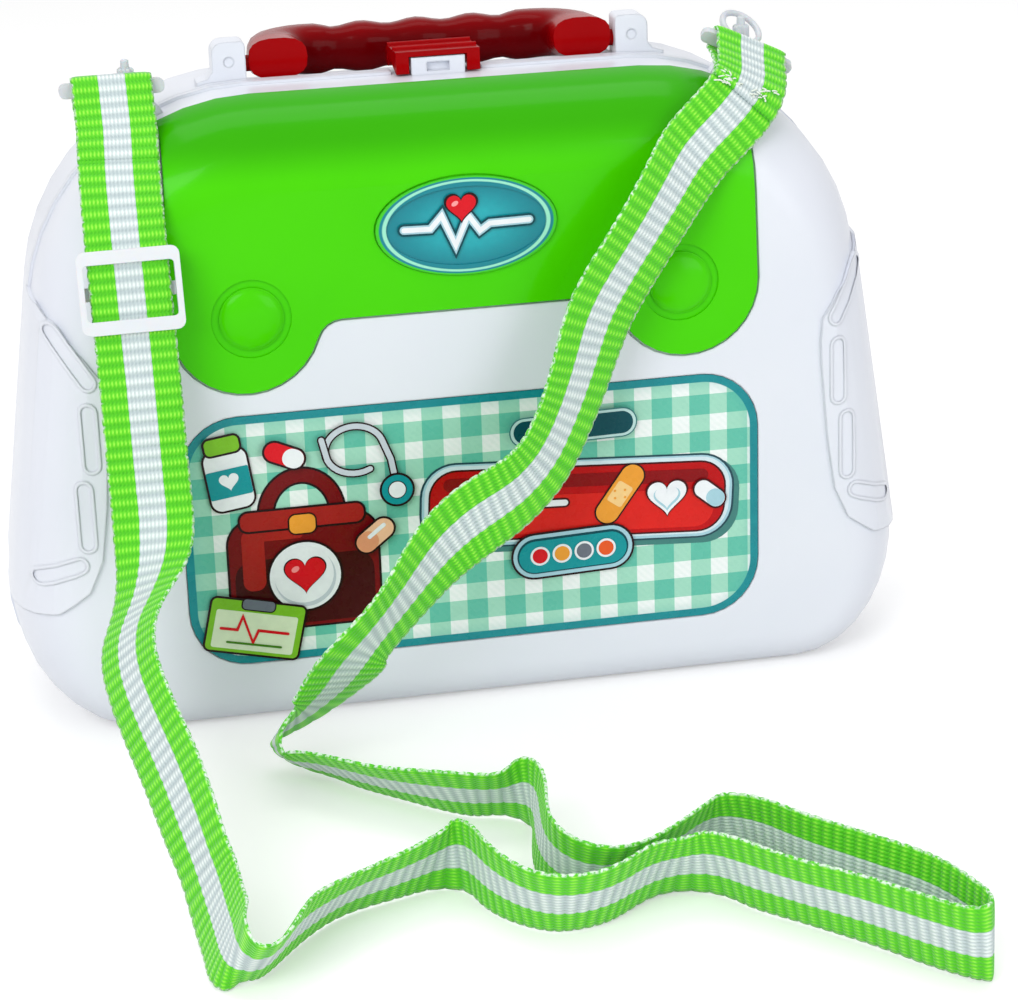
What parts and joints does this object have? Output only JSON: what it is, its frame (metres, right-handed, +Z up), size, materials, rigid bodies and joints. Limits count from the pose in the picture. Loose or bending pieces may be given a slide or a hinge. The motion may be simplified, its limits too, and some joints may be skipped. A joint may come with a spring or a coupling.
{
  "type": "toy doctor case",
  "caption": "Play doctor case: two hinged plastic shells with a lime flap, red latch and folding handle, and a green and white webbing shoulder strap.",
  "frame": {"origin": "centre of the case's base, with the parting line of the shells in the plane y = 0", "axes": "+Z up through the handle, -Y out of the front with the flap and label, +X to the right as seen from the front"},
  "size_m": [0.286, 0.3034, 0.2059],
  "materials": {
    "case_plastic": "glossy",
    "lime_plastic": "glossy",
    "red_plastic": "glossy",
    "badge_plastic": "glossy",
    "printed_label": "satin",
    "clip_plastic": "satin",
    "webbing": "matte",
    "steel": "satin"
  },
  "bodies": {
    "case_front": {"front_shell": "case_plastic", "front_flap": "lime_plastic", "flap_badge": "badge_plastic", "front_label": "printed_label", "hinge_pin_left": "steel", "hinge_pin_right": "steel", "strap_pin_left": "clip_plastic", "strap_pin_right": "clip_plastic", "strap": "webbing", "flap_screw_1": "steel", "flap_screw_2": "steel", "flap_screw_3": "steel", "flap_screw_4": "steel"},
    "case_rear": {"rear_shell": "case_plastic", "latch_pin": "steel"},
    "latch": {"latch": "red_plastic"},
    "handle": {"handle": "red_plastic"},
    "left_clip": {"strap_clip_left": "clip_plastic", "strap_loop_left": "webbing"},
    "right_clip": {"strap_clip_right": "clip_plastic", "strap_loop_right": "webbing"},
    "slider": {"strap_slider": "clip_plastic"}
  },
  "joints": [
    {"name": "case_hinge", "type": "hinge", "parent": "case_front", "child": "case_rear", "pos_m": [0, 0, 0.0024], "axis": [-1, 0, 0], "range_deg": [0, 115]},
    {"name": "latch_hinge", "type": "hinge", "parent": "case_rear", "child": "latch", "pos_m": [0, 0.01, 0.1965], "axis": [-1, 0, 0], "range_deg": [0, 95]},
    {"name": "handle_hinge", "type": "hinge", "parent": "case_rear", "child": "handle", "pos_m": [0, 0.008, 0.1976], "axis": [1, 0, 0], "range_deg": [0, 90]},
    {"name": "left_clip_swivel", "type": "hinge", "parent": "case_front", "child": "left_clip", "pos_m": [-0.095, -0.008, 0.1984], "axis": [0, 0, 1], "range_deg": [-3.5, 3.5]},
    {"name": "right_clip_swivel", "type": "hinge", "parent": "case_front", "child": "right_clip", "pos_m": [0.095, -0.008, 0.201], "axis": [0, 0, 1], "range_deg": [-3.5, 3.5]},
    {"name": "slider_slide", "type": "slide", "parent": "case_front", "child": "slider", "axis": [-0.0065, 0.2982, 0.9545], "range_m": [-0.01, 0.008]}
  ]
}
